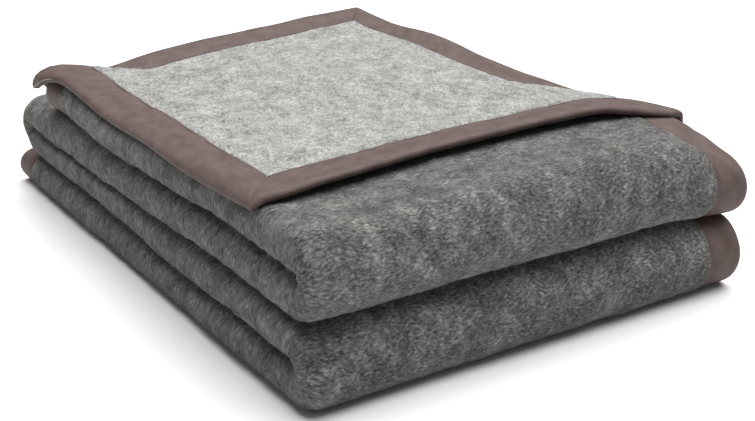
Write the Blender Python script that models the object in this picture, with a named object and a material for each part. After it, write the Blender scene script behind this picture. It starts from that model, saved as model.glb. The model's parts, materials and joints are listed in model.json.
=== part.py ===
"""Camp blanket: thick wool cloth bound in satin tape, folded to a stack with one corner turned back.

The cloth is folded in half twice across its width, which makes a bundle of four plies. The bundle is
folded like an accordion along its length into four panels, joined by two rolls at the front and one
at the back. The top ply's rear corner is turned forward over a diagonal fold.

Metres, +Z up. X runs along the front edge, Y from the front rolls to the foot edge, and the origin
is under the middle of the stack, on the surface that it lies on.
"""
import math

import bmesh
import bpy
from mathutils import Vector

# The stack
WIDTH = 0.420                # along the front edge: a quarter of the blanket's width
DEPTH = 0.600                # front rolls to the foot edge
BACK_FOLD_INSET = 0.020      # the back fold stops this far short of the foot edge
HEAD_INSET = 0.095           # at the left the head edge stops this far short of the foot edge
HEAD_SKEW = 0.093            # and at the right it lies this much further back
ROLL_FLATNESS = 0.80         # a roll's depth over its half height

# The cloth and its binding
PLY_PITCH = 0.0085           # from one ply of brushed cloth to the next
PLY_GAP = 0.0009             # the air between two plies
BOUND_CLOTH = 0.0046         # the cloth where the binding presses it flat
BINDING_WIDTH = 0.038        # one face of the folded tape
BINDING_SKIN = 0.0008        # the tape's own thickness, with its turned-under edge
SEAT_GAP = 0.0003            # between pieces that touch
STEP = 0.0003                # the run in which the cloth thins at the binding's edge

# Facets
ROLL_FACETS = 10             # round half a turn of a roll
OUTER_BEND_FACETS = 8        # round the bend that carries the outer plies
INNER_BEND_FACETS = 6        # round the two bends inside the bundle

# Derived sizes
PLIES = 4
BUNDLE = PLIES * PLY_PITCH                        # one panel's share of the height
HALF_CLOTH = (PLY_PITCH - PLY_GAP) / 2
HALF_BOUND = BOUND_CLOTH / 2
HALF_BORE = HALF_BOUND + SEAT_GAP                 # inside the binding's channel
HALF_TAPE = HALF_BORE + BINDING_SKIN              # outside it
EDGE_SETBACK = BINDING_SKIN + SEAT_GAP            # bound edge to the cloth's own edge

RIGHT = WIDTH / 2
LEFT = -RIGHT
FOOT_Y = DEPTH / 2
HEAD_Y = FOOT_Y - HEAD_INSET
ROLL_REACH = ROLL_FLATNESS * (BUNDLE - PLY_GAP / 2)
FRONT_AXIS_Y = -DEPTH / 2 + ROLL_REACH
BACK_AXIS_Y = FOOT_Y - BACK_FOLD_INSET - ROLL_REACH

LOWER_FRONT_Z = BUNDLE - PLY_GAP / 2              # fold axes, between the panels they join
BACK_Z = LOWER_FRONT_Z + BUNDLE
UPPER_FRONT_Z = BACK_Z + BUNDLE
CORNER_Z = UPPER_FRONT_Z + BUNDLE                 # the diagonal fold's axis, on the top ply

BEND_X = LEFT + 1.5 * PLY_PITCH + HALF_CLOTH      # both left bends turn about this
RIGHT_BEND_X = RIGHT - PLY_PITCH / 2 - HALF_CLOTH
PLY_1, PLY_2, PLY_3, PLY_4 = ((n + 0.5) * PLY_PITCH for n in (3, 2, 1, 0))

DIAGONAL = Vector((1, -1, 0)).normalized()        # from the left rear corner to the right side
ACROSS = Vector((1, 1, 0)).normalized()           # towards the corner that was turned back
DIAGONAL_START = Vector((LEFT, HEAD_Y, CORNER_Z))
DIAGONAL_LENGTH = WIDTH * math.sqrt(2)
CORNER_ROLL_SETBACK = PLY_PITCH                   # keeps the roll's ends within the stack's sides


def material(name, colour, roughness):
    mat = bpy.data.materials.new(name)
    mat.use_nodes = True
    shader = mat.node_tree.nodes["Principled BSDF"]
    shader.inputs["Base Color"].default_value = (*colour, 1)
    shader.inputs["Roughness"].default_value = roughness
    shader.inputs["Metallic"].default_value = 0
    return mat


def add_body(name, vertices, faces, mat):
    """One closed body from its corners and faces, with the faces turned to point out."""
    mesh = bpy.data.meshes.new(name)
    mesh.from_pydata([tuple(v) for v in vertices], [], faces)
    work = bmesh.new()
    work.from_mesh(mesh)
    bmesh.ops.recalc_face_normals(work, faces=work.faces)
    work.to_mesh(mesh)
    work.free()
    mesh.materials.append(mat)
    body = bpy.data.objects.new(name, mesh)
    bpy.context.collection.objects.link(body)
    return body


def cut_with(body, cutter):
    """Takes a cutter's shape out of a body; the cutter stays as a wire guide."""
    cutter.hide_render = True
    cutter.display_type = "WIRE"
    cut = body.modifiers.new("cut", "BOOLEAN")
    cut.operation = "DIFFERENCE"
    cut.solver = "EXACT"
    cut.object = cutter


# ---------------------------------------------------------------- shapes of sheet and channel

def thick_sheet(name, upper, lower, mat):
    """A sheet from two grids of points, upper[row][column] and lower[row][column]."""
    rows, columns = len(upper), len(upper[0])
    vertices = [p for grid in (upper, lower) for row in grid for p in row]

    def at(side, row, column):
        return side * rows * columns + row * columns + column

    faces = []
    for row in range(rows - 1):
        for column in range(columns - 1):
            for side in (0, 1):
                faces.append((at(side, row, column), at(side, row, column + 1),
                              at(side, row + 1, column + 1), at(side, row + 1, column)))
        for column in (0, columns - 1):
            faces.append((at(0, row, column), at(0, row + 1, column),
                          at(1, row + 1, column), at(1, row, column)))
    for column in range(columns - 1):
        for row in (0, rows - 1):
            faces.append((at(0, row, column), at(0, row, column + 1),
                          at(1, row, column + 1), at(1, row, column)))
    return add_body(name, vertices, faces, mat)


def channel_section(open_edge, closed_edge):
    """The folded tape's outline: (width position, height) pairs round a channel on the cloth's edge."""
    inner_edge = closed_edge - math.copysign(BINDING_SKIN, closed_edge - open_edge)
    return ((open_edge, HALF_TAPE), (closed_edge, HALF_TAPE),
            (closed_edge, -HALF_TAPE), (open_edge, -HALF_TAPE),
            (open_edge, -HALF_BORE), (inner_edge, -HALF_BORE),
            (inner_edge, HALF_BORE), (open_edge, HALF_BORE))


def channel(name, rings, mat):
    """A length of binding through rings of eight points, each laid out as channel_section does."""
    vertices = [p for ring in rings for p in ring]
    faces = []
    for n in range(len(rings) - 1):
        for k in range(8):
            after = (k + 1) % 8
            faces.append((8 * n + k, 8 * n + after, 8 * n + 8 + after, 8 * n + 8 + k))
    for first in (0, 8 * (len(rings) - 1)):
        for quad in ((0, 1, 6, 7), (1, 2, 5, 6), (2, 3, 4, 5)):
            faces.append(tuple(first + k for k in quad))
    return add_body(name, vertices, faces, mat)


# ---------------------------------------------------------------- the folded bundle's section

def bend(centre_x, centre_height, radius, first, last, facets):
    """Stations round a bend: (x, height, normal x, normal height), angles in degrees."""
    turn = math.copysign(1, last - first)
    stations = []
    for n in range(facets + 1):
        angle = math.radians(first + (last - first) * n / facets)
        out_x, out_h = math.cos(angle), math.sin(angle)
        stations.append((centre_x + radius * out_x, centre_height + radius * out_h,
                         turn * out_x, turn * out_h))
    return stations


LEFT_OUTER_BEND = bend(BEND_X, 2 * PLY_PITCH, 1.5 * PLY_PITCH, 90, 270, OUTER_BEND_FACETS)
RIGHT_BEND = bend(RIGHT_BEND_X, PLY_PITCH, 0.5 * PLY_PITCH, -90, 90, INNER_BEND_FACETS)
LEFT_INNER_BEND = bend(BEND_X, 2 * PLY_PITCH, 0.5 * PLY_PITCH, 270, 90, INNER_BEND_FACETS)
BENDS = LEFT_OUTER_BEND + RIGHT_BEND + LEFT_INNER_BEND


def cloth_section():
    """Stations along the cloth from one bound edge to the other, each with its half thickness.

    Height is measured from the face of ply 4. Ply 1 holds the outer bound edge and ply 2 the inner
    one, both on the right; plies 1 and 4 join at the left round plies 2 and 3.
    """
    bound_from = RIGHT - BINDING_WIDTH - SEAT_GAP
    edge = ((RIGHT - EDGE_SETBACK, HALF_BOUND), (bound_from, HALF_BOUND), (bound_from - STEP, HALF_CLOTH))
    outer_edge = [((x, PLY_1, 0, 1), half) for x, half in edge]
    inner_edge = [((x, PLY_2, 0, -1), half) for x, half in reversed(edge)]
    return outer_edge + [(station, HALF_CLOTH) for station in BENDS] + inner_edge


def panel_place(axis_z, side):
    """Where a section point of a panel lies: side is 1 above the front fold's axis, -1 below it."""
    return lambda x, height, y: Vector((x, y, axis_z + side * height))


def top_panel_place(x, height, y):
    """As panel_place, but the head edge runs askew: the cloth leans back evenly up to its binding."""
    full_lean_y = HEAD_Y - BINDING_WIDTH - SEAT_GAP - STEP
    share = min(1, (y - FRONT_AXIS_Y) / (full_lean_y - FRONT_AXIS_Y))
    return Vector((x, y + HEAD_SKEW * share * (x - LEFT) / WIDTH, UPPER_FRONT_Z + height))


def front_roll_place(axis_z):
    def place(x, height, angle):
        return Vector((x, FRONT_AXIS_Y - ROLL_FLATNESS * height * math.sin(angle),
                       axis_z + height * math.cos(angle)))
    return place


def back_roll_place(axis_z):
    def place(x, height, angle):
        radius = BUNDLE - height
        return Vector((x, BACK_AXIS_Y + ROLL_FLATNESS * radius * math.sin(angle),
                       axis_z + radius * math.cos(angle)))
    return place


HALF_TURN = [math.pi * n / ROLL_FACETS for n in range(ROLL_FACETS + 1)]


def cloth(name, place, rows, mat):
    """The bundle's cloth along rows of (position, whether bound there)."""
    upper, lower = [], []
    for position, bound in rows:
        for grid, side in ((upper, 1), (lower, -1)):
            line = []
            for (x, height, nx, nh), half in cloth_section():
                reach = side * (min(half, HALF_BOUND) if bound else half)
                line.append(place(x + reach * nx, height + reach * nh, position))
            grid.append(line)
    return thick_sheet(name, upper, lower, mat)


def side_binding(name, place, ply, positions, mat, mitre_y=None):
    """Binding on a bound edge at the right; with mitre_y its last end is cut for the corner."""
    rings = []
    for n, position in enumerate(positions):
        mitred = mitre_y is not None and n == len(positions) - 1
        ring = []
        for x, height in channel_section(RIGHT - BINDING_WIDTH, RIGHT):
            along = mitre_y - (RIGHT - x) - SEAT_GAP if mitred else position
            ring.append(place(x, ply + height, along))
        rings.append(ring)
    return channel(name, rings, mat)


def end_ring(place, station, edge_y, mitred=False):
    """One ring of an end binding; a mitred one is slanted to meet the side binding."""
    x, height, nx, nh = station
    ring = []
    for y, offset in channel_section(edge_y - BINDING_WIDTH, edge_y):
        slant = RIGHT - (edge_y - y) - SEAT_GAP - x if mitred else 0
        ring.append(place(x + slant + nx * offset, height + nh * offset, y))
    return ring


# ---------------------------------------------------------------- panels, folds and their bindings

def build_panel(label, place, rear_y, wool, tape, bound=False):
    """A panel's cloth; its end at rear_y is plain, at the back fold, or bound."""
    start = FRONT_AXIS_Y + SEAT_GAP
    if bound:
        thin_from = rear_y - BINDING_WIDTH - SEAT_GAP
        rows = [(start, False), (thin_from - STEP, False), (thin_from, True),
                (rear_y - EDGE_SETBACK, True)]
    else:
        rows = [(start, False), (rear_y, False)]
    body = cloth("wool_" + label, place, rows, wool)
    mitre = rear_y if bound else None
    side_binding("inner_edge_binding_" + label, place, PLY_2, (start, rear_y), tape, mitre)
    return body


def build_fold(label, place, wool, tape):
    cloth("wool_" + label, place, [(angle, False) for angle in HALF_TURN], wool)
    side_binding("outer_edge_binding_" + label, place, PLY_1, HALF_TURN, tape)
    side_binding("inner_edge_binding_" + label, place, PLY_2, HALF_TURN, tape)


def build_bottom_panel(wool, tape):
    """The panel that the stack lies on, with the foot binding round its rear end."""
    label = "bottom_panel"
    place = panel_place(LOWER_FRONT_Z, -1)
    build_panel(label, place, FOOT_Y, wool, tape, bound=True)
    start = FRONT_AXIS_Y + SEAT_GAP
    side_binding("outer_edge_binding_" + label, place, PLY_1, (start, FOOT_Y), tape, FOOT_Y)
    rings = [end_ring(place, (RIGHT, PLY_1, 0, 1), FOOT_Y, mitred=True)]
    rings += [end_ring(place, station, FOOT_Y) for station in BENDS]
    rings.append(end_ring(place, (RIGHT, PLY_2, 0, -1), FOOT_Y, mitred=True))
    channel("foot_binding_" + label, rings, tape)


def build_middle_panels(wool, tape):
    start = FRONT_AXIS_Y + SEAT_GAP
    end = BACK_AXIS_Y - SEAT_GAP
    for label, axis_z, side in (("lower_middle_panel", LOWER_FRONT_Z, 1),
                                ("upper_middle_panel", UPPER_FRONT_Z, -1)):
        place = panel_place(axis_z, side)
        build_panel(label, place, end, wool, tape)
        side_binding("outer_edge_binding_" + label, place, PLY_1, (start, end), tape)


def corner_cutter(name):
    """A wedge over everything of the top ply that was turned back, down to the gap above ply 2."""
    low = CORNER_Z - PLY_PITCH
    high = CORNER_Z + BUNDLE
    reach = WIDTH
    near_left = DIAGONAL_START - DIAGONAL * reach - ACROSS * SEAT_GAP
    near_right = DIAGONAL_START + DIAGONAL * (DIAGONAL_LENGTH + reach) - ACROSS * SEAT_GAP
    outline = (near_left, near_right, near_right + ACROSS * 2 * reach, near_left + ACROSS * 2 * reach)
    vertices = [(p.x, p.y, z) for z in (low, high) for p in outline]
    faces = [(0, 1, 2, 3), (4, 5, 6, 7)]
    faces += [(n, (n + 1) % 4, (n + 1) % 4 + 4, n + 4) for n in range(4)]
    return add_body(name, vertices, faces, bpy.data.materials["wool_dark"])


def build_top_panel(wool, tape):
    """The top panel: its top ply ends at the diagonal fold, and the head binding at its rear end."""
    label = "top_panel"
    body = build_panel(label, top_panel_place, HEAD_Y, wool, tape, bound=True)
    cutter = corner_cutter("corner_cutter")
    cut_with(body, cutter)

    fold_side_y = HEAD_Y - WIDTH + BINDING_WIDTH + PLY_PITCH
    ends = (FRONT_AXIS_Y + SEAT_GAP, fold_side_y)
    straight = panel_place(UPPER_FRONT_Z, 1)
    outer_edge = side_binding("outer_edge_binding_" + label, straight, PLY_1, ends, tape)
    cut_with(outer_edge, cutter)

    head_start = (LEFT + BINDING_WIDTH + PLY_PITCH, PLY_1, 0, 1)
    rings = [end_ring(top_panel_place, head_start, HEAD_Y)]
    rings += [end_ring(top_panel_place, station, HEAD_Y) for station in BENDS]
    rings.append(end_ring(top_panel_place, (RIGHT, PLY_2, 0, -1), HEAD_Y, mitred=True))
    head = channel("head_binding_" + label, rings, tape)
    cut_with(head, cutter)


# ---------------------------------------------------------------- the turned-back corner

def triangle_plate(name, inset, half, mat):
    """The turned-back corner's outline, inset from its two bound edges, as a plate."""
    middle = CORNER_Z + PLY_PITCH / 2
    left = LEFT + inset
    front = HEAD_Y - WIDTH + inset
    leg = WIDTH - 2 * inset - SEAT_GAP * math.sqrt(2)
    outline = ((left, front), (left + leg, front), (left, front + leg))
    vertices = [(x, y, middle + side * half) for side in (-1, 1) for x, y in outline]
    faces = [(0, 1, 2), (3, 4, 5), (0, 1, 4, 3), (1, 2, 5, 4), (2, 0, 3, 5)]
    return add_body(name, vertices, faces, mat)


def build_turned_corner(wool, tape):
    """The corner itself: reverse side up, with the outer edge's binding in front, the head's left."""
    label = "turned_corner"
    body = triangle_plate("wool_" + label, EDGE_SETBACK, HALF_BOUND, wool)
    core = triangle_plate("corner_core", BINDING_WIDTH + SEAT_GAP, HALF_CLOTH, wool)
    core.hide_render = True
    core.display_type = "WIRE"
    join = body.modifiers.new("full thickness", "BOOLEAN")
    join.operation = "UNION"
    join.solver = "EXACT"
    join.object = core

    middle = CORNER_Z + PLY_PITCH / 2
    front = HEAD_Y - WIDTH
    slack = SEAT_GAP * math.sqrt(2)
    rings = [[], []]
    for y, height in channel_section(front + BINDING_WIDTH, front):
        from_edge = y - front
        rings[0].append((LEFT + from_edge + SEAT_GAP, y, middle + height))
        rings[1].append((RIGHT - from_edge - slack, y, middle + height))
    channel("outer_edge_binding_" + label, rings, tape)

    rings = [[], []]
    for x, height in channel_section(LEFT + BINDING_WIDTH, LEFT):
        from_edge = x - LEFT
        rings[0].append((x, front + from_edge + SEAT_GAP, middle + height))
        rings[1].append((x, HEAD_Y - from_edge - slack, middle + height))
    channel("head_binding_" + label, rings, tape)


def corner_roll_place(along, radius, angle):
    """A point of the diagonal roll: angle 0 is on the turned corner, half a turn on the top ply."""
    centre = DIAGONAL_START + DIAGONAL * along
    return centre + ACROSS * radius * math.sin(angle) + Vector((0, 0, radius * math.cos(angle)))


def build_corner_fold(wool, tape):
    """The diagonal roll that joins the top ply to the turned-back corner."""
    label = "corner_fold"
    bound = BINDING_WIDTH * math.sqrt(2)
    first = CORNER_ROLL_SETBACK
    last = DIAGONAL_LENGTH - CORNER_ROLL_SETBACK
    profile = ((first + EDGE_SETBACK, HALF_BOUND), (bound + SEAT_GAP, HALF_BOUND),
               (bound + SEAT_GAP + STEP, HALF_CLOTH),
               (DIAGONAL_LENGTH - bound - SEAT_GAP - STEP, HALF_CLOTH),
               (DIAGONAL_LENGTH - bound - SEAT_GAP, HALF_BOUND), (last - EDGE_SETBACK, HALF_BOUND))
    grids = []
    for side in (1, -1):
        grids.append([[corner_roll_place(along, PLY_PITCH / 2 + side * half, angle)
                       for along, half in profile] for angle in HALF_TURN])
    thick_sheet("wool_" + label, *grids, wool)

    ends = (("head_binding_", bound, first), ("outer_edge_binding_", DIAGONAL_LENGTH - bound, last))
    for prefix, open_end, closed_end in ends:
        section = channel_section(open_end, closed_end)
        rings = [[corner_roll_place(along, PLY_PITCH / 2 + height, angle) for along, height in section]
                 for angle in HALF_TURN]
        channel(prefix + label, rings, tape)


def main():
    for old in list(bpy.data.objects):
        bpy.data.objects.remove(old, do_unlink=True)

    wool_dark = material("wool_dark", (0.115, 0.115, 0.118), 0.95)
    wool_light = material("wool_light", (0.50, 0.50, 0.49), 0.95)
    satin = material("satin_binding", (0.20, 0.155, 0.145), 0.42)

    build_bottom_panel(wool_dark, satin)
    build_middle_panels(wool_dark, satin)
    build_top_panel(wool_dark, satin)
    build_fold("lower_front_fold", front_roll_place(LOWER_FRONT_Z), wool_dark, satin)
    build_fold("back_fold", back_roll_place(BACK_Z), wool_dark, satin)
    build_fold("upper_front_fold", front_roll_place(UPPER_FRONT_Z), wool_dark, satin)
    build_turned_corner(wool_light, satin)
    build_corner_fold(wool_light, satin)


main()
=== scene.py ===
"""Looks for the folded camp blanket: brushed double-faced wool bound in satin tape, with loose nap."""
import json
import math

import bpy
import numpy as np
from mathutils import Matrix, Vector


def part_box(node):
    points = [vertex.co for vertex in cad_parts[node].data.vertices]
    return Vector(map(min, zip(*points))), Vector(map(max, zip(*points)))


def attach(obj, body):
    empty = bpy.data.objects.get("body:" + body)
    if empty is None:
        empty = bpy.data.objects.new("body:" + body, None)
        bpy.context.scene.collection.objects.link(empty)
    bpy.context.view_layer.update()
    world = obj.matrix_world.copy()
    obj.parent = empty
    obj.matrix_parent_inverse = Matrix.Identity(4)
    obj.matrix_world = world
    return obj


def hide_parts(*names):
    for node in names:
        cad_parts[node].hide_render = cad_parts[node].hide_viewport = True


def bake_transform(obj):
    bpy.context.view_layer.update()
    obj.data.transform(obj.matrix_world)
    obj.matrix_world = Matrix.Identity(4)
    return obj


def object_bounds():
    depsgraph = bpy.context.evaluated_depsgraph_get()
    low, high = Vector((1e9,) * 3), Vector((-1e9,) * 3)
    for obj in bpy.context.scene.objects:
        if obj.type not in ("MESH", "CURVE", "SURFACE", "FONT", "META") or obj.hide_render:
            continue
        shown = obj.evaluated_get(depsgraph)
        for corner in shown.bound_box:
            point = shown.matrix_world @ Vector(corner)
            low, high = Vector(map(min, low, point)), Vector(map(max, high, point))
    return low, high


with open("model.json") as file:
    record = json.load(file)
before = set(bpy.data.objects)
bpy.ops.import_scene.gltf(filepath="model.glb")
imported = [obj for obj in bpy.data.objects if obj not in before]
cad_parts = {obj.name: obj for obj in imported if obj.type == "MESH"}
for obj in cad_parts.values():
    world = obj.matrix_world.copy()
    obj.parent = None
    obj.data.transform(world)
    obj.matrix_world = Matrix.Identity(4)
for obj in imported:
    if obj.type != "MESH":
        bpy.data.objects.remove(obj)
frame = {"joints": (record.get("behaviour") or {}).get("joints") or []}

CAD_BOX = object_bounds()

# ---------------------------------------------------------------- places, read from the frame
JOINTS = {joint["name"]: joint for joint in frame["joints"]}
_, FRONT_AXIS_Y, LOWER_FRONT_Z = JOINTS["lower_front_fold"]["pos_m"]
_, BACK_AXIS_Y, BACK_Z = JOINTS["back_fold"]["pos_m"]
UPPER_FRONT_Z = JOINTS["upper_front_fold"]["pos_m"][2]
_, CORNER_Y, CORNER_Z = JOINTS["corner_fold"]["pos_m"]
BUNDLE = BACK_Z - LOWER_FRONT_Z                 # the height of one panel of four plies
PITCH = BUNDLE / 4                              # from one ply to the next
LEFT, RIGHT = CAD_BOX[0][0], CAD_BOX[1][0]
FRONT_Y, FOOT_Y = CAD_BOX[0][1], CAD_BOX[1][1]
WIDTH = RIGHT - LEFT
HEAD_Y = CORNER_Y + WIDTH / 2                   # the head edge at the left
FOLD_END_Y = HEAD_Y - WIDTH                     # where the diagonal fold reaches the right side
HEAD_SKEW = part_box("head_binding_top_panel")[1].y - HEAD_Y
TAPE = FOOT_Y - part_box("foot_binding_bottom_panel")[0].y    # one face of the binding
FLATNESS = (FRONT_AXIS_Y - FRONT_Y) / LOWER_FRONT_Z         # a roll's depth over its half height
BEND_X = LEFT + 1.94 * PITCH                    # the left bends turn about this
RIGHT_BEND_X = RIGHT - 0.95 * PITCH
PLY_1, PLY_2, PLY_3, PLY_4 = ((n + 0.5) * PITCH for n in (3, 2, 1, 0))

# ---------------------------------------------------------------- the cloth, its tape and its nap
HALF_WOOL = 0.0040          # a ply with its nap laid down
HALF_BOUND = 0.0023         # the ply inside the binding
HALF_TAPE = 0.0032          # outside of the tape where it is sewn
TAPE_PUFF = 0.0007          # how far the tape stands up between its edge and its seam
TAPE_SKIN = 0.0008
FINE = 0.0031               # grid spacing where the cloth shows
COARSE = 0.0200             # and where it is hidden between plies
TAPE_STEP = 0.0040
ROLL_LENGTH = 0.055         # cloth in half a turn of a roll, at the middle of the bundle
STITCH_STEP = 0.0034
STITCH_LENGTH = 0.0026
SEAM_SHARE = 0.945          # where the stitches run, as a share of the tape's width
PUCKER, TAPE_WAVE = 0.00032, 0.00042            # the tape's unevenness, at the seam and all over
MITRE_PINCH = 0.16          # how much thinner the tape is at a sewn mitre
MITRE_RINGS = (0, 0.0010, 0.0021, 0.0036)       # closer rings there
THREAD_RADIUS = 0.00032
FIBRE_DENSITY = 80000       # loose fibres on a square metre
FIBRE_THICKNESS = 0.00008   # half of a fibre bundle's thickness
FIBRE_REACH = (0.0026, 0.0062)
FIBRE_BEND = 0.5            # radians from its lower half to its upper

# ---------------------------------------------------------------- how the stack lies
SAG = 0.0070                # the top sinks along the left side
SHOULDER, FRONT_SHOULDER = 0.003, 0.021         # and falls at the right, most at the front
HEAD_RISE, RIGHT_RISE = 0.0075, 0.0085          # the head end and the right edge behind the fold lift
HEAD_PULL = 0.012           # the head end's right part is pulled back
RIDGE_WANDER = 0.0030       # the folds on the left face aren't level
UNEVEN_TOP, UNEVEN_SIDE, UNEVEN_END = 0.0022, 0.0034, 0.0034
FILLED = 0.007              # the back fold's ridge stands out on the left face
CREASE = 0.0007             # small creases round the diagonal fold's right end
PRESSED = 0.002             # below this height the cloth presses flat on what it rests on
FOLD_BOW = 0.014            # the diagonal fold swings back this far in the middle
TIP_LIFT, FOLD_LIFT = 0.0050, 0.0060            # the turned corner stands off the ply below
FLAP_CURL, FLAP_EDGE_LIFT = 0.034, 0.0055       # its left edge curls over, its front edge lifts
OVERHANG, TIP_OVERHANG = 0.0050, 0.012          # and the left edge hangs out

rng = np.random.default_rng(11)
LATTICE = rng.uniform(-1, 1, (256, 256))


def noise(u, v, layer=0):
    """Smooth value noise on a lattice of unit cells, about -1 to 1."""
    u = np.asarray(u, float) + 37.3 * layer + 64
    v = np.asarray(v, float) + 91.7 * layer + 64
    i, j = np.floor(u).astype(int), np.floor(v).astype(int)
    fu, fv = u - i, v - j
    fu, fv = fu * fu * (3 - 2 * fu), fv * fv * (3 - 2 * fv)
    a, b = LATTICE[i % 256, j % 256], LATTICE[(i + 1) % 256, j % 256]
    c, d = LATTICE[i % 256, (j + 1) % 256], LATTICE[(i + 1) % 256, (j + 1) % 256]
    return (a * (1 - fu) + b * fu) * (1 - fv) + (c * (1 - fu) + d * fu) * fv


def smooth(low, high, value):
    """0 at low, 1 at high and smooth between them; low may be the greater."""
    t = np.clip((value - low) / (high - low), 0, 1)
    return t * t * (3 - 2 * t)


def hill(value, centre, reach):
    """1 at the centre, dying away over the reach."""
    return np.exp(-((value - centre) / reach) ** 2)


def nap(s, l):
    """The height of the brushed pile at cloth coordinates in metres: clumps, tufts and fibres."""
    clumps = noise(s / 0.027, l / 0.024, 1)
    tufts = noise(s / 0.011, l / 0.010, 2)
    fibres = noise(s / 0.0048, l / 0.0055, 3)
    return 0.00050 * clumps + 0.00050 * tufts + 0.00040 * fibres


def lean(x, y):
    """How far the top panel's cloth lies back of square, for its head edge runs askew."""
    share = np.clip((y - FRONT_AXIS_Y) / (HEAD_Y - TAPE - FRONT_AXIS_Y), 0, 1)
    return HEAD_SKEW * share * (x - LEFT) / WIDTH


def soften(points):
    """The soft, uneven lie of the whole stack, the same for all that lies at one place."""
    x, y, z = points[..., 0], points[..., 1], points[..., 2]
    height = np.clip(z / CORNER_Z, 0, 1.1)
    across, along = (x - LEFT) / WIDTH, y - FRONT_Y
    left_face = smooth(BEND_X + 0.03, LEFT, x)
    out = points.copy()
    sag = SAG * smooth(0.50, 0.05, across) * hill(along, 0.35, 0.12)
    shoulder = (SHOULDER + FRONT_SHOULDER * hill(along, 0, 0.065)) * smooth(RIGHT - 0.085, RIGHT + 0.004, x)
    head_end = smooth(HEAD_Y - 0.075, HEAD_Y, y - lean(x, y)) * smooth(0, 0.35, across)
    right_edge = smooth(RIGHT - 0.07, RIGHT, x) * hill(y, HEAD_Y - 0.06, 0.09)
    raised = (HEAD_RISE * head_end + RIGHT_RISE * right_edge) * smooth(UPPER_FRONT_Z, CORNER_Z, z)
    wander = RIDGE_WANDER * noise(y / 0.10, z / 0.05, 9) * left_face * smooth(0.012, 0.045, z)
    out[..., 2] += (-sag - shoulder) * height ** 2 + raised + wander
    out[..., 2] += UNEVEN_TOP * height * noise(x / 0.13, y / 0.15, 4)
    spread = np.arctan2(y - FOLD_END_Y, RIGHT + 0.02 - x)
    creases = np.sin(11 * spread) * hill(np.hypot(x - RIGHT, y - FOLD_END_Y), 0.034, 0.018)
    out[..., 2] += CREASE * creases * height ** 2
    out[..., 1] += HEAD_PULL * head_end * across * smooth(UPPER_FRONT_Z - 0.01, CORNER_Z, z)
    side = smooth(0.10, 0.21, np.abs(x))
    out[..., 0] += UNEVEN_SIDE * side * noise(y / 0.11, z / 0.034, 5) * smooth(0, 0.03, z)
    between_ends = smooth(-0.12, 0.10, y) * smooth(0.27, 0.20, y)
    out[..., 0] -= FILLED * hill(z, BACK_Z, 0.010) * left_face * between_ends
    end = smooth(0.18, 0.29, np.abs(y))
    out[..., 1] += UNEVEN_END * end * noise(x / 0.12, z / 0.036, 6) * smooth(0, 0.03, z)
    low = np.minimum(out[..., 2] - PRESSED, 0)
    out[..., 2] += 0.85 * PRESSED * np.expm1(low / (0.85 * PRESSED)) - low
    return out


# ---------------------------------------------------------------- mesh making

def make_mesh(name, points, faces, uv, slots, materials):
    """One mesh of closed bodies, its faces turned to point out; uv holds a pair for each point."""
    corners = np.array([(f[0], f[k], f[k + 1]) for f in faces for k in range(1, len(f) - 1)])
    a, b, c = (points[corners[:, k]] for k in range(3))
    if np.einsum("ij,ij->i", a, np.cross(b, c)).sum() < 0:
        faces = [f[::-1] for f in faces]
    mesh = bpy.data.meshes.new(name)
    mesh.from_pydata(points.tolist(), [], faces)
    loops = np.zeros(len(mesh.loops), np.int32)
    mesh.loops.foreach_get("vertex_index", loops)
    mesh.uv_layers.new(name="cloth").data.foreach_set("uv", uv[loops].astype(np.float32).ravel())
    for material in materials:
        mesh.materials.append(material)
    mesh.polygons.foreach_set("material_index", np.asarray(slots, np.int32))
    mesh.polygons.foreach_set("use_smooth", np.full(len(faces), True))
    mesh.set_sharp_from_angle(angle=math.radians(60))
    mesh.update()
    piece = bpy.data.objects.new(name, mesh)
    bpy.context.scene.collection.objects.link(piece)
    return piece


def grid_faces(rows, columns, first=0):
    """A grid's four-sided faces, as rows of point numbers."""
    index = np.arange(rows * columns).reshape(rows, columns) + first
    return np.stack([index[:-1, :-1], index[:-1, 1:], index[1:, 1:], index[1:, :-1]], -1).reshape(-1, 4)


def sheet_mesh(name, dark, light, uv):
    """A closed sheet from its dark side's grid, its light side's grid and the cloth coordinates."""
    rows, columns = dark.shape[:2]
    count = rows * columns
    upper = grid_faces(rows, columns)
    lower = grid_faces(rows, columns, count)[:, ::-1]
    index = np.arange(count).reshape(rows, columns)
    rim = np.concatenate([index[0, ::-1], index[1:, 0], index[-1, 1:], index[-2:0:-1, -1]])
    after = np.roll(rim, -1)
    walls = np.stack([rim, after, after + count, rim + count], -1)
    faces = np.concatenate([upper, lower, walls]).tolist()
    slots = np.concatenate([np.zeros(len(upper)), np.ones(len(lower)), np.zeros(len(walls))])
    points = np.concatenate([dark.reshape(-1, 3), light.reshape(-1, 3)])
    return make_mesh(name, points, faces, np.tile(uv.reshape(-1, 2), (2, 1)), slots, [DARK, LIGHT])


# The tape's outline, in shares of its width from the bound edge
OUTLINE_SHARES = (1.0, 0.985, 0.94, 0.86, 0.74, 0.60, 0.46, 0.33, 0.22, 0.13, 0.07, 0.03, 0.008, 0.0)


def tape_height(share):
    """Half the tape's outer thickness: round at the bound edge, puffed, pressed down at the seam."""
    edge = math.sqrt(max(0, 1 - (1 - min(1, share / 0.13)) ** 2))
    puff = TAPE_PUFF * math.sin(math.pi * min(1, share ** 0.6)) ** 0.8 if 0 < share < 1 else 0
    return (HALF_TAPE + puff - 0.0004 * hill(share, 0.95, 0.03)) * edge


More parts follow.
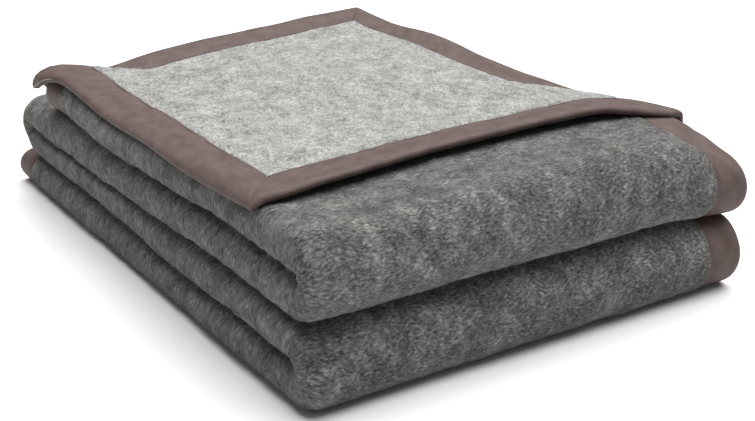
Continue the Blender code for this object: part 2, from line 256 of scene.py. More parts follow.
def tape_outline():
    upper = [(share * TAPE, tape_height(share)) for share in OUTLINE_SHARES]
    outside = upper + [(u, -h) for u, h in reversed(upper[:-1])]
    inner = HALF_TAPE - TAPE_SKIN
    lower = [(TAPE, -inner), (0.5 * TAPE, -inner), (0.08 * TAPE, -0.8 * inner)]
    inside = lower + [(0.035 * TAPE, 0)] + [(u, -h) for u, h in reversed(lower)]
    return len(outside), np.array(outside + inside)


OUTSIDE_COUNT, OUTLINE = tape_outline()


def cap_faces(first):
    """Triangles between a ring's outside and its inside, in the ring's own direction."""
    a, b = 0, len(OUTLINE) - 1
    outer_steps, inner_steps = OUTSIDE_COUNT - 1, len(OUTLINE) - OUTSIDE_COUNT - 1
    faces = []
    while a < outer_steps or b > OUTSIDE_COUNT:
        outer_turn = a / outer_steps <= (len(OUTLINE) - 1 - b) / inner_steps
        if b == OUTSIDE_COUNT or (a < outer_steps and outer_turn):
            faces.append((first + a, first + a + 1, first + b))
            a += 1
        else:
            faces.append((first + a, first + b - 1, first + b))
            b -= 1
    return faces


def stitch_parts(place, length):
    """Small rounded bars of thread along the seam, on both faces of the tape."""
    count = max(1, int((length - 0.004) / STITCH_STEP))
    start = (np.arange(count) + 0.5) * STITCH_STEP / length
    points, uv = [], []
    for face in (1, -1):
        for along, half in ((0, 0.35), (0.25, 1), (0.75, 1), (1, 0.35)):
            u = SEAM_SHARE * TAPE + THREAD_RADIUS * half * np.array([-1, 0, 1, 0])[None, :]
            rise = 0.00030 * half * np.array([0, 1, 0, -1])[None, :]
            v = (start + along * STITCH_LENGTH / length)[:, None]
            n = face * (tape_height(SEAM_SHARE) + 0.0001 + rise)
            points.append(place(u + 0 * v, n + 0 * v, v + 0 * u))
            uv.append(np.stack([u + 0 * v, v * length + 0 * u], -1))
    rings = np.stack(points, 1).reshape(count, 2, 4, 4, 3)
    coordinates = np.stack(uv, 1).reshape(count, 2, 4, 4, 2)
    rings[:, 1] = rings[:, 1, :, ::-1]
    faces = []
    for bar in range(2 * count):
        first = 16 * bar
        for ring in range(3):
            for k in range(4):
                after = (k + 1) % 4
                faces.append((first + 4 * ring + k, first + 4 * ring + after,
                              first + 4 * ring + 4 + after, first + 4 * ring + 4 + k))
        faces.append((first + 3, first + 2, first + 1, first))
        faces.append((first + 12, first + 13, first + 14, first + 15))
    return rings.reshape(-1, 3), coordinates.reshape(-1, 2), faces


def add_tape(node, place, length, body=None, step=TAPE_STEP, mitres=(False, False)):
    """A length of folded tape with its stitches: place(u, n, v) gives points for v from 0 to 1."""
    close = np.array(MITRE_RINGS) / length if any(mitres) else np.array([0.0])
    count = max(3, round(length / step))
    between = np.linspace(close[-1], 1 - close[-1], count + 1)[1:-1]
    v = np.concatenate([close, between, 1 - close[::-1]])[:, None]
    u, n = OUTLINE[:, 0][None, :] + 0 * v, OUTLINE[:, 1][None, :] + 0 * v
    seam = smooth(0.5 * TAPE, TAPE, u)
    pucker = PUCKER * noise(v * length / 0.0065, u / 0.05, 7) * (0.12 + 0.88 * seam)
    wave = TAPE_WAVE * noise(v * length / 0.035, u / 0.03, 8)
    outside = np.arange(len(OUTLINE))[None, :] < OUTSIDE_COUNT
    n = n + np.sign(n) * np.where(outside, pucker + wave, 0) * smooth(0, 0.004, u)
    sewn = sum(hill(distance * length, 0, 0.0022) for distance, mitred in zip((v, 1 - v), mitres) if mitred)
    n = n * (1 - MITRE_PINCH * sewn * smooth(0, 0.006, u))
    rings = place(u, n, v)
    index = np.arange(rings[..., 0].size).reshape(rings.shape[:2])
    after = np.roll(index, -1, axis=1)
    sides = np.stack([index[:-1], after[:-1], after[1:], index[1:]], -1).reshape(-1, 4)
    faces = sides.tolist() + [f[::-1] for f in cap_faces(0)] + cap_faces(int(index[-1, 0]))
    uv = np.stack([u, v * length + 0 * u], -1).reshape(-1, 2)
    points = rings.reshape(-1, 3)
    piece = make_mesh("tape_" + node, points, faces, uv, np.zeros(len(faces)), [SATIN])
    points, uv, faces = stitch_parts(place, length)
    thread = make_mesh("stitches_" + node, points, faces, uv, np.zeros(len(faces)), [THREAD])
    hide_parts(node)
    for part in (piece, thread):
        if body:
            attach(part, body)
    return [piece, thread]


def add_fibres(name, surface, other_side, coordinates, material, weight=None, tall=0.10):
    """Loose fibres on a surface grid, each a long thin closed spike lying over with its tip raised."""
    here = surface[:-1, :-1]
    t1, t2 = surface[:-1, 1:] - here, surface[1:, :-1] - here
    normal = np.cross(t1, t2)
    area = np.linalg.norm(normal, axis=-1)
    normal = normal / np.maximum(area, 1e-12)[..., None]
    outward = here - other_side[:-1, :-1]
    normal *= np.sign(np.einsum("ijk,ijk->ij", normal, outward))[..., None]
    chance = area if weight is None else area * weight[:-1, :-1]
    count = int(chance.sum() * FIBRE_DENSITY)
    if count < 8:
        return None
    cell = rng.choice(chance.size, count, p=(chance / chance.sum()).ravel())
    pick = lambda grid: grid.reshape(-1, grid.shape[-1])[cell]
    f, g = rng.uniform(0, 1, (2, count, 1))
    base = pick(here) + f * pick(t1) + g * pick(t2)
    up = pick(normal)
    side_1 = pick(t1) / np.maximum(np.linalg.norm(pick(t1), axis=1), 1e-9)[:, None]
    side_2 = np.cross(up, side_1)
    turn = rng.uniform(0, 2 * math.pi, (count, 1))
    lie = np.cos(turn) * side_1 + np.sin(turn) * side_2
    across = np.cross(up, lie)
    reach = rng.uniform(*FIBRE_REACH, (count, 1))
    rise = reach * rng.uniform(0.02, 1, (count, 1)) ** 3 * 0.55 + reach * tall * 0.4
    to_side = across * math.sin(FIBRE_BEND) * rng.choice([-1, 1], (count, 1))
    bend = lie * math.cos(FIBRE_BEND) + to_side
    middle = base + lie * reach * 0.55 + up * rise * 0.75
    tip = middle + bend * reach * 0.5 + up * rise * 0.25
    thick = FIBRE_THICKNESS
    root = base - up * 0.0004
    rings = [root + across * thick, root - across * thick, root + up * thick * 1.6,
             middle + across * thick * 0.8, middle - across * thick * 0.8, middle + up * thick * 1.3, tip]
    points = np.stack(rings, 1).reshape(-1, 3)
    points[:, 2] = np.maximum(points[:, 2], 0.0003)
    pattern = np.array([(0, 1, 2, 2), (0, 3, 4, 1), (1, 4, 5, 2), (2, 5, 3, 0), (3, 6, 4, 4), (4, 6, 5, 5),
                        (5, 6, 3, 3)])
    index = (pattern[None] + 7 * np.arange(count)[:, None, None]).reshape(-1, 4).tolist()
    faces = [face if face[2] != face[3] else face[:3] for face in index]
    uv = np.repeat(pick(coordinates), 7, axis=0)
    piece = make_mesh(name, points, faces, uv, np.zeros(len(faces)), [material])
    return piece


# ---------------------------------------------------------------- the folded section

def bend_stations(centre_x, centre_h, radius, first, last, count):
    """Stations round a bend, each its x, its height and its outward direction; angles in degrees."""
    angle = np.radians(np.linspace(first, last, count + 1))
    turn = np.sign(last - first)
    return np.stack([centre_x + radius * np.cos(angle), centre_h + radius * np.sin(angle),
                     turn * np.cos(angle), turn * np.sin(angle)], -1)


def run_stations(start, end, height, normal, spacing):
    """Stations along a flat ply whose dark side faces up (1) or down (-1)."""
    count = max(1, round(abs(end - start) / spacing))
    x = np.linspace(start, end, count + 1)
    return np.stack([x, np.full_like(x, height), np.zeros_like(x), np.full_like(x, normal)], -1)


# Where rows or columns lie by a bound edge, closer together where the cloth comes out of the tape
EDGE_MARKS = np.array([0.0032, 0.02, TAPE - 0.0025, TAPE - 0.0012, TAPE, TAPE + 0.0016])


def section_parts(first_x, last_x, top_spacing, spacing_4, spacing_3=COARSE):
    """The folded section from first_x on ply 1 round to last_x on ply 2, as a list of stations."""
    return [run_stations(first_x, BEND_X, PLY_1, 1, top_spacing),
            bend_stations(BEND_X, 2 * PITCH, 1.5 * PITCH, 90, 270, 16)[1:],
            run_stations(BEND_X, RIGHT_BEND_X, PLY_4, -1, spacing_4)[1:],
            bend_stations(RIGHT_BEND_X, PITCH, 0.5 * PITCH, -90, 90, 8)[1:],
            run_stations(RIGHT_BEND_X, BEND_X, PLY_3, 1, spacing_3)[1:],
            bend_stations(BEND_X, 2 * PITCH, 0.5 * PITCH, 270, 90, 6)[1:],
            run_stations(BEND_X, last_x, PLY_2, -1, top_spacing)[1:]]


def arc_lengths(stations):
    return np.concatenate([[0], np.cumsum(np.hypot(*np.diff(stations[:, :2], axis=0).T))])


def section(top_spacing, spacing_4=COARSE):
    """Stations along the cloth from the outer bound edge to the inner one, and the parts' ends."""
    edge_x = RIGHT - EDGE_MARKS
    first = run_stations(0, 1, PLY_1, 1, 1 / (len(edge_x) - 1))
    last = run_stations(0, 1, PLY_2, -1, 1 / (len(edge_x) - 1))
    first[:, 0], last[:, 0] = edge_x, edge_x[::-1]
    middle = section_parts(edge_x[-1], edge_x[-1], top_spacing, spacing_4)
    middle[0], middle[-1] = middle[0][1:], middle[-1][:-1]
    ends = np.cumsum([len(first)] + [len(part) for part in middle])
    stations = np.concatenate([first] + middle + [last])
    return stations, EDGE_MARKS[0] + arc_lengths(stations), ends


def bound_share(u):
    """1 under the tape and 0 past it, at a distance from a bound edge."""
    return 1 - smooth(TAPE - 0.0015, TAPE + 0.0008, u)


def half_thickness(s, l, bound):
    """Half a ply's thickness at cloth coordinates, where bound is 1 under the tape."""
    return HALF_WOOL + (HALF_BOUND - HALF_WOOL) * bound + nap(s, l) * (1 - bound)


def cloth_sides(stations, s, rows, end_u=None, leaning=None):
    """Both sides' grids over rows along the length, and the cloth coordinates."""
    base_y, base_z, dir_y, dir_z, l = rows
    x, h, nx, nh = (column[None, :] for column in stations.T)
    edge_u = np.minimum(s, s[-1] + EDGE_MARKS[0] - s)[None, :]
    bound = bound_share(edge_u) + 0 * base_y * x
    if end_u is not None:
        bound = np.maximum(bound, bound_share(end_u))
    s_grid, l_grid = s[None, :] + 0 * base_y * x, l + 0 * x
    half = half_thickness(s_grid, l_grid, bound)
    sides = []
    for sign in (1, -1):
        reach = sign * half
        across = x + nx * reach
        y = base_y + dir_y * (h + nh * reach)
        if leaning is not None:
            y = y + lean(across, y) * leaning[None, :]
        sides.append(soften(np.stack([across, y, base_z + dir_z * (h + nh * reach)], -1)))
    return sides[0], sides[1], np.stack([s_grid, l_grid], -1)


def panel_rows(axis_z, side, near, far, l_near, l_far, far_y=None):
    """Rows of a panel from its fold at near to its end at far, with closer rows at a bound end."""
    count = max(2, round(abs(far - near) / FINE))
    share = np.linspace(0, 1, count + 1)[:, None]
    end = np.full((1, 1), far) if far_y is None else far_y[None, :]
    y = near + share * (end - near)
    l = l_near + (y - near) * (l_far - l_near) / (far - near)
    return y, axis_z + 0 * y, 0 * y, side + 0 * y, l


def roll_frame(kind, axis_z, angle):
    """Where a roll's rows start, and which way the section's height points in them."""
    sine, cosine = np.sin(angle), np.cos(angle)
    if kind == "front":
        return FRONT_AXIS_Y + 0 * angle, axis_z + 0 * angle, -FLATNESS * sine, cosine
    return (BACK_AXIS_Y + FLATNESS * BUNDLE * sine, axis_z + BUNDLE * cosine,
            -FLATNESS * sine, -cosine)


TOP_L = HEAD_Y - FRONT_AXIS_Y
MIDDLE_L = BACK_AXIS_Y - FRONT_AXIS_Y
L_UPPER_FRONT = (TOP_L, TOP_L + ROLL_LENGTH)
L_UPPER_MIDDLE = (L_UPPER_FRONT[1], L_UPPER_FRONT[1] + MIDDLE_L)
L_BACK = (L_UPPER_MIDDLE[1], L_UPPER_MIDDLE[1] + ROLL_LENGTH)
L_LOWER_MIDDLE = (L_BACK[1], L_BACK[1] + MIDDLE_L)
L_LOWER_FRONT = (L_LOWER_MIDDLE[1], L_LOWER_MIDDLE[1] + ROLL_LENGTH)
L_BOTTOM = (L_LOWER_FRONT[1], L_LOWER_FRONT[1] + FOOT_Y - FRONT_AXIS_Y)


# ---------------------------------------------------------------- materials

def new_material(name):
    material = bpy.data.materials.new(name)
    material.use_nodes = True
    tree = material.node_tree
    return material, tree, tree.nodes["Principled BSDF"]


def math_node(tree, operation, first, second):
    node = tree.nodes.new("ShaderNodeMath")
    node.operation = operation
    for socket, value in zip(node.inputs, (first, second)):
        if isinstance(value, (int, float)):
            socket.default_value = value
        else:
            tree.links.new(value, socket)
    return node.outputs[0]


def mapped_noise(tree, vector, scale, rotation, stretch, detail=3.0):
    mapping = tree.nodes.new("ShaderNodeMapping")
    mapping.inputs["Rotation"].default_value = (0, 0, math.radians(rotation))
    mapping.inputs["Scale"].default_value = (scale, scale * stretch, scale)
    tree.links.new(vector, mapping.inputs["Vector"])
    texture = tree.nodes.new("ShaderNodeTexNoise")
    texture.inputs["Scale"].default_value = 1
    texture.inputs["Detail"].default_value = detail
    texture.inputs["Roughness"].default_value = 0.6
    tree.links.new(mapping.outputs[0], texture.inputs["Vector"])
    return texture.outputs["Fac"]


def colour_ramp(tree, value, stops):
    ramp = tree.nodes.new("ShaderNodeValToRGB")
    while len(ramp.color_ramp.elements) < len(stops):
        ramp.color_ramp.elements.new(0.5)
    for element, (place, colour) in zip(ramp.color_ramp.elements, stops):
        element.position = place
        element.color = (*colour, 1)
    tree.links.new(value, ramp.inputs[0])
    return ramp.outputs[0]


def bump(tree, shader, height, strength, distance):
    node = tree.nodes.new("ShaderNodeBump")
    node.inputs["Strength"].default_value = strength
    node.inputs["Distance"].default_value = distance
    tree.links.new(height, node.inputs["Height"])
    tree.links.new(node.outputs[0], shader.inputs["Normal"])


def cloth_coordinates(tree):
    uv = tree.nodes.new("ShaderNodeUVMap")
    uv.uv_map = "cloth"
    return uv.outputs[0]


def wool(name, stops, sheen):
    """Brushed wool: streaks of fibre laid several ways, drifting with the nap, over mottled tufts."""
    material, tree, shader = new_material(name)
    uv = cloth_coordinates(tree)
    drift = tree.nodes.new("ShaderNodeTexNoise")
    drift.inputs["Scale"].default_value = 40
    drift.inputs["Detail"].default_value = 2
    tree.links.new(uv, drift.inputs["Vector"])
    shift = tree.nodes.new("ShaderNodeVectorMath")
    shift.operation = "MULTIPLY_ADD"
    shift.inputs[1].default_value = (0.007, 0.007, 0)
    tree.links.new(drift.outputs["Color"], shift.inputs[0])
    tree.links.new(uv, shift.inputs[2])
    vector = shift.outputs[0]
    streaks = mapped_noise(tree, vector, 270, 12, 3.4)
    for rotation, scale in ((66, 300), (124, 240)):
        streaks = math_node(tree, "ADD", streaks, mapped_noise(tree, vector, scale, rotation, 3.4))
    tufts = mapped_noise(tree, vector, 120, 30, 1.5, detail=2)
    clumps = mapped_noise(tree, uv, 42, 0, 1.2)
    value = math_node(tree, "MULTIPLY", streaks, 0.66)
    value = math_node(tree, "ADD", value, math_node(tree, "MULTIPLY", tufts, 0.50))
    value = math_node(tree, "ADD", value, math_node(tree, "MULTIPLY", clumps, 0.56))
    value = math_node(tree, "SUBTRACT", value, 1.02)
    tree.links.new(colour_ramp(tree, value, stops), shader.inputs["Base Color"])
    bump(tree, shader, value, 0.6, 0.0017)
    shader.inputs["Roughness"].default_value = 0.95
    shader.inputs["Specular IOR Level"].default_value = 0.10
    shader.inputs["Sheen Weight"].default_value = sheen
    shader.inputs["Sheen Roughness"].default_value = 0.5
    shader.inputs["Sheen Tint"].default_value = (0.8, 0.8, 0.79, 1)
    return material


def fibre(name, dark, light):
    """A loose fibre, each of its own grey."""
    material, tree, shader = new_material(name)
    value = mapped_noise(tree, cloth_coordinates(tree), 900, 0, 1.0, detail=1)
    tree.links.new(colour_ramp(tree, value, ((0.35, dark), (0.65, light))), shader.inputs["Base Color"])
    shader.inputs["Roughness"].default_value = 0.8
    shader.inputs["Specular IOR Level"].default_value = 0.2
    return material


def satin(name, dark, light, scale):
    """Satin tape: fine warp floats along the tape, a soft sheen, faint slubs."""
    material, tree, shader = new_material(name)
    uv = cloth_coordinates(tree)
    floats = mapped_noise(tree, uv, scale, 0, 0.06, detail=2)
    slubs = mapped_noise(tree, uv, 75, 0, 0.7, detail=5)
    value = math_node(tree, "ADD", math_node(tree, "MULTIPLY", floats, 0.35),
                      math_node(tree, "MULTIPLY", slubs, 0.65))
    tree.links.new(colour_ramp(tree, value, ((0.3, dark), (0.7, light))), shader.inputs["Base Color"])
    rough = tree.nodes.new("ShaderNodeMapRange")
    rough.inputs["To Min"].default_value = 0.50
    rough.inputs["To Max"].default_value = 0.66
    tree.links.new(slubs, rough.inputs["Value"])
    tree.links.new(rough.outputs[0], shader.inputs["Roughness"])
    bump(tree, shader, value, 0.25, 0.0004)
    shader.inputs["Specular IOR Level"].default_value = 0.12
    shader.inputs["Sheen Weight"].default_value = 0.0
    shader.inputs["Sheen Roughness"].default_value = 0.35
    return material


DARK = wool("wool_dark", ((0.18, (0.018, 0.018, 0.017)), (0.42, (0.070, 0.069, 0.066)),
                          (0.60, (0.143, 0.140, 0.134)), (0.84, (0.30, 0.295, 0.28))), 0.12)
LIGHT = wool("wool_light", ((0.18, (0.08, 0.08, 0.078)), (0.40, (0.215, 0.213, 0.205)),
                            (0.60, (0.340, 0.337, 0.325)), (0.82, (0.50, 0.495, 0.48))), 0.08)
DARK_FIBRE = fibre("fibre_dark", (0.06, 0.06, 0.058), (0.36, 0.355, 0.34))
LIGHT_FIBRE = fibre("fibre_light", (0.20, 0.20, 0.19), (0.60, 0.59, 0.57))
SATIN = satin("satin_binding", (0.062, 0.043, 0.039), (0.138, 0.101, 0.093), 2600)
THREAD = satin("thread", (0.078, 0.060, 0.055), (0.115, 0.090, 0.082), 5200)


# ---------------------------------------------------------------- panels and folds

def add_cloth(label, rows, stations, s, end_u=None, leaning=None):
    dark, light, uv = cloth_sides(stations, s, rows, end_u, leaning)
    piece = sheet_mesh("cloth_" + label, dark, light, uv)
    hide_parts("wool_" + label)
    return piece, dark, light, uv


def columns_between(ends, first, last, grid):
    """A weight of 1 on the section's parts from first up to last, and 0 elsewhere."""
    weight = np.zeros(grid.shape[:2])
    weight[:, ends[first]:ends[last]] = 1
    return weight


def panel_tape_place(axis_z, side, ply, near, far, slope=0, leaning=False):
    """Tape on a right-hand bound edge of a panel; with a slope its far end is cut for a corner."""
    def place(u, n, v):
        y = near + v * (far + slope * u - near)
        x = RIGHT - u + 0 * y
        if leaning:
            y = y + lean(x, y)
        return soften(np.stack([x, y, axis_z + side * (ply + n) + 0 * y], -1))
    return place


def roll_tape_place(kind, axis_z, ply):
    def place(u, n, v):
        base_y, base_z, dir_y, dir_z = roll_frame(kind, axis_z, math.pi * v)
        y = base_y + dir_y * (ply + n)
        return soften(np.stack([RIGHT - u + 0 * y, y, base_z + dir_z * (ply + n)], -1))
    return place


def end_tape_place(stations, axis_z, side, edge_y, slants, leaning=False, reach=0):
    """Tape on a panel's end, along the folded section; slants lean its first and last rings."""
    s = arc_lengths(stations)
    def place(u, n, v):
        x, h, nx, nh = (np.interp(v * s[-1], s, column) for column in stations.T)
        first = np.clip(1 - v * s[-1] / TAPE, 0, 1)
        last = np.clip(1 - (1 - v) * s[-1] / TAPE, 0, 1)
        x = x + nx * n + (slants[0] * first + slants[1] * last) * u
        depth = u
        if reach:
            on_ply_1 = np.where((h > 2 * PITCH) & (v < 0.3), np.clip(x - LEFT, 0, reach), 0)
            depth = on_ply_1 + u * (TAPE - on_ply_1) / TAPE
        y = edge_y - depth
        if leaning:
            y = y + lean(x, y)
        return soften(np.stack([x, y, axis_z + side * (h + nh * n)], -1))
    return place


def build_bottom_panel():
    """The panel on the floor, with the foot edge at its back."""
    label, axis_z, length = "bottom_panel", LOWER_FRONT_Z, FOOT_Y - FRONT_AXIS_Y
    stations, s, ends = section(COARSE)
    rows = panel_rows(axis_z, -1, FRONT_AXIS_Y, FOOT_Y - EDGE_MARKS[0], *L_BOTTOM)
    finish_panel(label, add_cloth(label, rows, stations, s, FOOT_Y - rows[0]), ends, length)
    for prefix, ply in (("outer_edge_binding_", PLY_1), ("inner_edge_binding_", PLY_2)):
        place = panel_tape_place(axis_z, -1, ply, FRONT_AXIS_Y, FOOT_Y, slope=-1)
        add_tape(prefix + label, place, length, label, mitres=(False, True))
    stations = np.concatenate(section_parts(RIGHT, RIGHT, 0.004, 0.004, 0.004))
    place = end_tape_place(stations, axis_z, -1, FOOT_Y, (-1, -1))
    add_tape("foot_binding_" + label, place, arc_lengths(stations)[-1], label, mitres=(True, True))


def build_middle_panels():
    """The two panels between the front rolls and the back one."""
    stations, s, ends = section(COARSE)
    for label, axis_z, side, length in (("lower_middle_panel", LOWER_FRONT_Z, 1, L_LOWER_MIDDLE[::-1]),
                                        ("upper_middle_panel", UPPER_FRONT_Z, -1, L_UPPER_MIDDLE)):
        rows = panel_rows(axis_z, side, FRONT_AXIS_Y, BACK_AXIS_Y, *length)
        finish_panel(label, add_cloth(label, rows, stations, s), ends, MIDDLE_L)
        for prefix, ply in (("outer_edge_binding_", PLY_1), ("inner_edge_binding_", PLY_2)):
            place = panel_tape_place(axis_z, side, ply, FRONT_AXIS_Y, BACK_AXIS_Y)
            add_tape(prefix + label, place, MIDDLE_L, label)


def build_top_panel():
    """The top panel: ply 1 ends at the diagonal fold, which runs into the left bend."""
    label = "top_panel"
    stations, s, ends = section(FINE)
    far_y = np.full(len(stations), HEAD_Y - EDGE_MARKS[0])
    on_top = np.arange(len(stations)) < (ends[1] + ends[2]) // 2
    along = np.linspace(0, WIDTH * math.sqrt(2), 200)
    fold_x = LEFT + (along + fold_bow(along)) / math.sqrt(2)
    fold_y = HEAD_Y - (along - fold_bow(along)) / math.sqrt(2)
    far_y[on_top] = np.minimum(far_y[on_top], np.interp(stations[on_top, 0], fold_x, fold_y))
    leaning = np.where(on_top, 0.0, 1.0)
    rows = panel_rows(UPPER_FRONT_Z, 1, FRONT_AXIS_Y, HEAD_Y, TOP_L, 0, far_y=far_y)
    made = add_cloth(label, rows, stations, s, HEAD_Y - rows[0], leaning)
    finish_panel(label, made, ends, TOP_L + HEAD_SKEW / 2, top=True)

    place = panel_tape_place(UPPER_FRONT_Z, 1, PLY_1, FRONT_AXIS_Y, FOLD_END_Y, slope=1)
    add_tape("outer_edge_binding_top_panel", place, FOLD_END_Y - FRONT_AXIS_Y, label)
    place = panel_tape_place(UPPER_FRONT_Z, 1, PLY_2, FRONT_AXIS_Y, HEAD_Y, slope=-1, leaning=True)
    add_tape("inner_edge_binding_top_panel", place, TOP_L + HEAD_SKEW, label, mitres=(False, True))
    stations = np.concatenate(section_parts(LEFT + 0.5 * TAPE, RIGHT, 0.004, 0.004, 0.004))
    place = end_tape_place(stations, UPPER_FRONT_Z, 1, HEAD_Y, (0, -1), leaning=True, reach=TAPE)
    add_tape("head_binding_top_panel", place, arc_lengths(stations)[-1], label, mitres=(False, True))


def finish_panel(label, made, ends, length, top=False):
    """Declares a panel's cloth and adds its loose fibres where it shows."""
    piece, dark, light, uv = made
    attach(piece, label)
    shows = columns_between(ends, 1, 2, dark)
    if top:
        shows[:, ends[0]:ends[1]] = 1
        behind_fold = light[..., 0] - LEFT + light[..., 1] - HEAD_Y > 0.030
        x, y = light[..., 0], light[..., 1]
        clear = (x < RIGHT - TAPE) & (y - lean(x, y) < HEAD_Y - TAPE)
        on_ply_2 = columns_between(ends, 6, 7, light) * behind_fold * clear
        loose = add_fibres("nap_ply_below_corner", light, dark, uv, LIGHT_FIBRE, on_ply_2)
        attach(loose, label)
    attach(add_fibres("nap_" + label, dark, light, uv, DARK_FIBRE, shows), label)


def build_folds():
    """The three rolls of the accordion, each lying between the panels that it joins."""
    folds = (("upper_front_fold", "front", UPPER_FRONT_Z, L_UPPER_FRONT, "top_panel", "upper_middle_panel"),
             ("back_fold", "back", BACK_Z, L_BACK, "upper_middle_panel", "lower_middle_panel"),
             ("lower_front_fold", "front", LOWER_FRONT_Z, L_LOWER_FRONT,
              "lower_middle_panel", "bottom_panel"))
    for label, kind, axis_z, length, upper, lower in folds:
        front = kind == "front"
        stations, s, ends = section(*((FINE, COARSE) if front else (COARSE, FINE)))
        angle = np.linspace(0, math.pi, 29)[:, None]
        l = length[0] + (length[1] - length[0]) * angle / math.pi
        rows = (*roll_frame(kind, axis_z, angle), l)
        piece, dark, light, uv = add_cloth(label, rows, stations, s)
        shows = columns_between(ends, 0, 2, dark) if front else columns_between(ends, 1, 3, dark)
        pieces = [piece, add_fibres("nap_" + label, dark, light, uv, DARK_FIBRE, shows)]
        for prefix, ply in (("outer_edge_binding_", PLY_1), ("inner_edge_binding_", PLY_2)):
            radius = ply if front else BUNDLE - ply
            pieces += add_tape(prefix + label, roll_tape_place(kind, axis_z, ply), 2.84 * radius, step=0.003)
        for part in pieces:
            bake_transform(part)


# ---------------------------------------------------------------- the turned-back corner

def fold_bow(along):
    """How far the diagonal fold swings back from the straight line, at a distance from its left end."""
    return FOLD_BOW * np.sin(math.pi * np.clip(along / (WIDTH * math.sqrt(2)), 0, 1))


def corner_lift(a, b):
    """How far the turned corner stands off the ply below it: most along the fold and at its left end."""
    from_left = np.hypot(a, WIDTH - b)
    from_fold = (WIDTH - a - b) / math.sqrt(2)
    middle = np.sin(math.pi * np.clip((a + WIDTH - b) / (2 * WIDTH), 0, 1))
    return TIP_LIFT * hill(from_left, 0, 0.06) + FOLD_LIFT * middle * hill(from_fold, 0, 0.050)


def drape(points):
    """Lets the turned corner's left edge curl over the side of the stack, and its front edge lift."""
    x, y, z = points[..., 0], points[..., 1], points[..., 2]
    from_left = np.hypot(x - LEFT, y - HEAD_Y)
    from_tip = np.hypot(x - LEFT, y - FOLD_END_Y)
    from_right = np.hypot(x - RIGHT, y - FOLD_END_Y)
    middle = CORNER_Z + PITCH / 2
    near_edge = smooth(BEND_X + 0.05, BEND_X, x)
    hangs_out = OVERHANG * hill(y, CORNER_Y - 0.12, 0.08) + TIP_OVERHANG * hill(from_left, 0, 0.028)
    x = x - near_edge * hangs_out
    curl = FLAP_CURL - 0.010 * hill(y, FOLD_END_Y, 0.14) - 0.013 * hill(from_left, 0, 0.032)
    angle = np.clip(BEND_X - x, 0, None) / curl
    radius = curl + z - middle
    over = x < BEND_X
    out = points.copy()
    out[..., 0] = np.where(over, BEND_X - radius * np.sin(angle), x)
    out[..., 2] = np.where(over, middle - curl + radius * np.cos(angle), z)
    edge = np.clip(1 - (y - FOLD_END_Y) / (1.5 * TAPE), 0, 1) ** 1.5
    stretch = smooth(LEFT, LEFT + 0.07, x) * smooth(RIGHT - 0.03, RIGHT - 0.09, x)
    out[..., 2] += FLAP_EDGE_LIFT * edge * stretch
    out[..., 2] -= 0.0030 * hill(from_right, 0, 0.035)
    out[..., 0] += 0.0070 * hill(from_right, 0, 0.040)
    pushed_back = 0.008 * hill(x, RIGHT - 0.12, 0.12) * hill(y, FOLD_END_Y, 0.05)
    out[..., 1] += pushed_back - 0.009 * hill(from_tip, 0, 0.10)
    return soften(out)


def flap_point(a, b, n):
    """A point of the turned corner, a from its left edge, b from its front edge and n off its middle."""
    from_fold = (WIDTH - a - b) / math.sqrt(2)
    along = (a + WIDTH - b) / math.sqrt(2)
    shift = fold_bow(along) * smooth(0.25, 0, from_fold) / math.sqrt(2)
    z = CORNER_Z + PITCH / 2 + corner_lift(a, b) + n
    return drape(np.stack([LEFT + a + shift, FOLD_END_Y + b + shift, z], -1))


def corner_rolled(along, offset, angle):
    """A point of the diagonal roll: angle 0 is on the turned corner, half a turn on the top ply."""
    a = along / math.sqrt(2)
    lift = corner_lift(a, WIDTH - a)
    distance = PITCH / 2 + lift / 2 + offset
    out = (fold_bow(along) + distance * np.sin(angle)) / math.sqrt(2)
    z = CORNER_Z + lift / 2 + distance * np.cos(angle)
    return drape(np.stack([LEFT + a + out, HEAD_Y - a + out, z], -1))


def build_corner():
    """The corner itself, light side up, as rows parallel to its front edge that end at the fold."""
    label = "turned_corner"
    count = round(WIDTH / FINE)
    inner = TAPE + 0.0016
    b = np.concatenate([EDGE_MARKS, np.linspace(inner, WIDTH - 0.003, count)[1:]])[:, None]
    steps = np.concatenate([EDGE_MARKS, np.linspace(inner, WIDTH, count)[1:]])[None, :]
    room = WIDTH - b
    past_tape = inner + (steps - inner) * (room - inner) / (WIDTH - inner)
    a = np.where(room <= inner, room * steps / WIDTH, np.where(steps <= inner, steps + 0 * b, past_tape))
    b = b + 0 * a
    half = half_thickness(b, a, np.maximum(bound_share(a), bound_share(b)))
    dark, light = flap_point(a, b, -half), flap_point(a, b, half)
    uv = np.stack([b, a], -1)
    piece = sheet_mesh("cloth_" + label, dark, light, uv)
    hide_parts("wool_" + label)
    clear = 1.0 * (a > TAPE) * (b > TAPE)
    nap_piece = add_fibres("nap_" + label, light, dark, uv, LIGHT_FIBRE, clear)
    for part in (piece, nap_piece):
        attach(part, label)

    def front_place(u, n, v):
        return flap_point(u + v * (WIDTH - 2 * u), u + 0 * v, n)

    def left_place(u, n, v):
        return flap_point(u + 0 * v, u + v * (WIDTH - 2 * u), n)
    add_tape("outer_edge_binding_" + label, front_place, WIDTH, label, mitres=(True, False))
    add_tape("head_binding_" + label, left_place, WIDTH, label, mitres=(True, False))


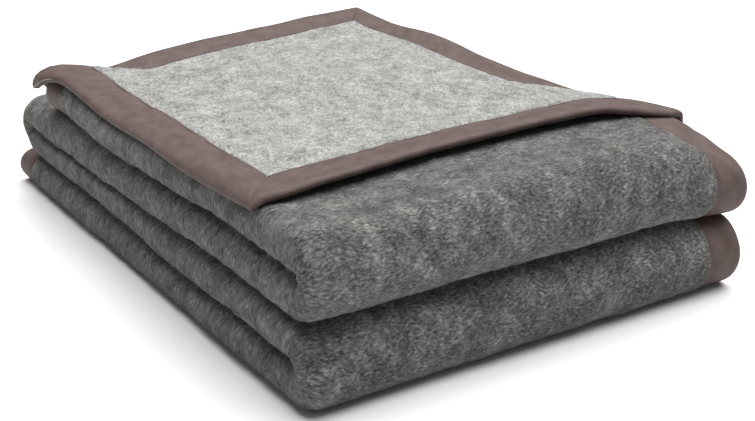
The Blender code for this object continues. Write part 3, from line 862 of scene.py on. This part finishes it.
def build_corner_fold():
    """The diagonal roll that joins the top ply to the turned-back corner."""
    label = "corner_fold"
    length = WIDTH * math.sqrt(2)
    marks = np.append(EDGE_MARKS[:-1], TAPE + 0.0016) * math.sqrt(2)
    between = np.linspace(marks[-1], length - marks[-1], 170)[1:-1]
    along = np.concatenate([marks, between, length - marks[::-1]])
    angle = np.linspace(0, math.pi, 15)[:, None]
    along = along[None, :] + 0 * angle
    s, l = (length - along) / math.sqrt(2), along / math.sqrt(2)
    half = half_thickness(s, l, np.maximum(bound_share(l), bound_share(s)))
    dark = corner_rolled(along, -np.minimum(half, PITCH / 2 - 0.0002), angle + 0 * along)
    light = corner_rolled(along, half, angle + 0 * along)
    uv = np.stack([s, l + PITCH / 2 * angle], -1)
    piece = sheet_mesh("cloth_" + label, dark, light, uv)
    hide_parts("wool_" + label)
    fold_length = 1.5 * math.pi * PITCH / 2     # round the roll, which is fuller than a tight fold
    clear = 1.0 * (l > TAPE) * (s > TAPE)
    pieces = [piece, add_fibres("nap_" + label, light, dark, uv, LIGHT_FIBRE, clear, tall=0.2)]
    for node, at_left in (("head_binding_corner_fold", True), ("outer_edge_binding_corner_fold", False)):
        def place(u, n, v, at_left=at_left):
            along = u * math.sqrt(2) if at_left else length - u * math.sqrt(2)
            return corner_rolled(along + 0 * v, n + 0 * v, math.pi * v + 0 * u)
        pieces += add_tape(node, place, fold_length, step=0.0012)
    for part in pieces:
        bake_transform(part)


# ---------------------------------------------------------------- stage

LIGHT_DIRECTION = (-0.24, -0.10, -1)
CAMERA_PLACE = (LEFT - 0.3821, FRONT_Y - 0.6736, 0.4603)
CAMERA_TILT, CAMERA_AZIMUTH = 21.23, 32.95      # degrees below level, and from the y axis towards x


def build_stage():
    """A plain pale floor under a soft overhead light."""
    reach = 8.0
    mesh = bpy.data.meshes.new("floor")
    mesh.from_pydata([(-reach, -reach, 0), (reach, -reach, 0), (reach, reach, 0), (-reach, reach, 0)],
                     [], [(0, 1, 2, 3)])
    floor = bpy.data.objects.new("floor", mesh)
    bpy.context.scene.collection.objects.link(floor)
    material, _, shader = new_material("floor")
    shader.inputs["Base Color"].default_value = (0.80, 0.80, 0.80, 1)
    shader.inputs["Roughness"].default_value = 0.9
    shader.inputs["Specular IOR Level"].default_value = 0.1
    mesh.materials.append(material)

    world = bpy.data.worlds.new("studio")
    bpy.context.scene.world = world
    world.use_nodes = True
    world.node_tree.nodes["Background"].inputs[0].default_value = (1, 1, 1, 1)
    world.node_tree.nodes["Background"].inputs[1].default_value = 0.20

    light = bpy.data.lights.new("overhead", "SUN")
    light.energy = 5.9
    light.angle = math.radians(75)
    lamp = bpy.data.objects.new("overhead", light)
    lamp.rotation_euler = Vector(LIGHT_DIRECTION).to_track_quat("-Z", "Y").to_euler()
    bpy.context.scene.collection.objects.link(lamp)


def build_camera():
    """The camera, low at the stack's front left."""
    camera = bpy.data.cameras.new("camera")
    camera.sensor_width = 36
    camera.lens = 36 * 1300 / 755
    holder = bpy.data.objects.new("camera", camera)
    bpy.context.scene.collection.objects.link(holder)
    holder.location = CAMERA_PLACE
    tilt, azimuth = math.radians(CAMERA_TILT), math.radians(CAMERA_AZIMUTH)
    level = math.cos(tilt)
    forward = Vector((math.sin(azimuth) * level, math.cos(azimuth) * level, -math.sin(tilt)))
    holder.rotation_euler = forward.to_track_quat("-Z", "Y").to_euler()
    bpy.context.scene.camera = holder
    bpy.context.scene.view_settings.view_transform = "Standard"


build_camera()
build_bottom_panel()
build_middle_panels()
build_top_panel()
build_folds()
build_corner()
build_corner_fold()
build_stage()
